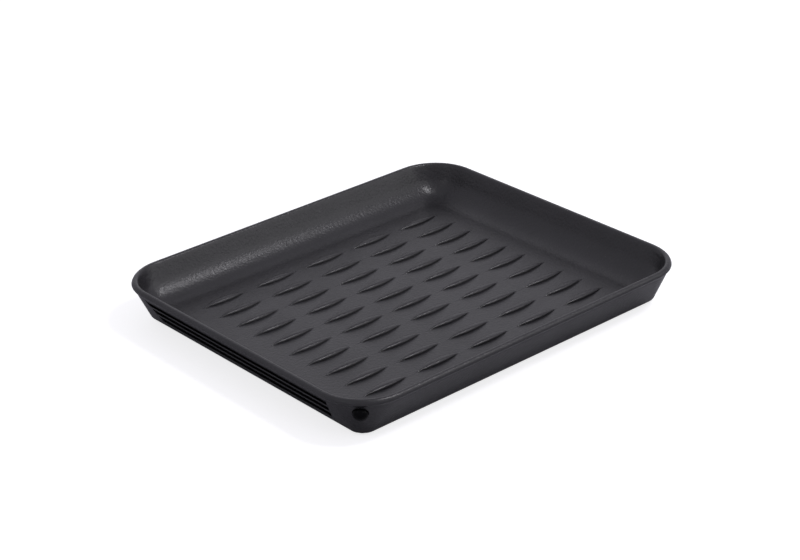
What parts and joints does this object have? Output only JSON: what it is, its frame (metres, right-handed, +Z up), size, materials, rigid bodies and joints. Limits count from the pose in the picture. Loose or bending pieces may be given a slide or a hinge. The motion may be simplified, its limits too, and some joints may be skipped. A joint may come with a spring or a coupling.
{
  "type": "ribbed drip tray",
  "caption": "Shallow rectangular plastic drip tray with rounded corners, a rolled lip, a floor of raised lens-shaped ribs, grooved grip strips, a corner plug and rubber feet.",
  "frame": {"origin": "on the ground under the middle of the tray, level with the undersides of the feet", "axes": "+X along the long side, +Y along the short side, +Z up; the corner plug is in the -X -Y corner"},
  "size_m": [0.1554, 0.133, 0.0164],
  "materials": {
    "tray_plastic": "matte, fine moulded grain",
    "gloss_strip": "gloss",
    "gloss_plug": "high gloss",
    "foot_rubber": "matte"
  },
  "bodies": {
    "root": {"tray_body": "tray_plastic", "grip_strip_left": "gloss_strip", "grip_strip_right": "gloss_strip", "corner_plug": "gloss_plug", "foot_front_left": "foot_rubber", "foot_front_right": "foot_rubber", "foot_back_left": "foot_rubber", "foot_back_right": "foot_rubber"}
  },
  "joints": []
}
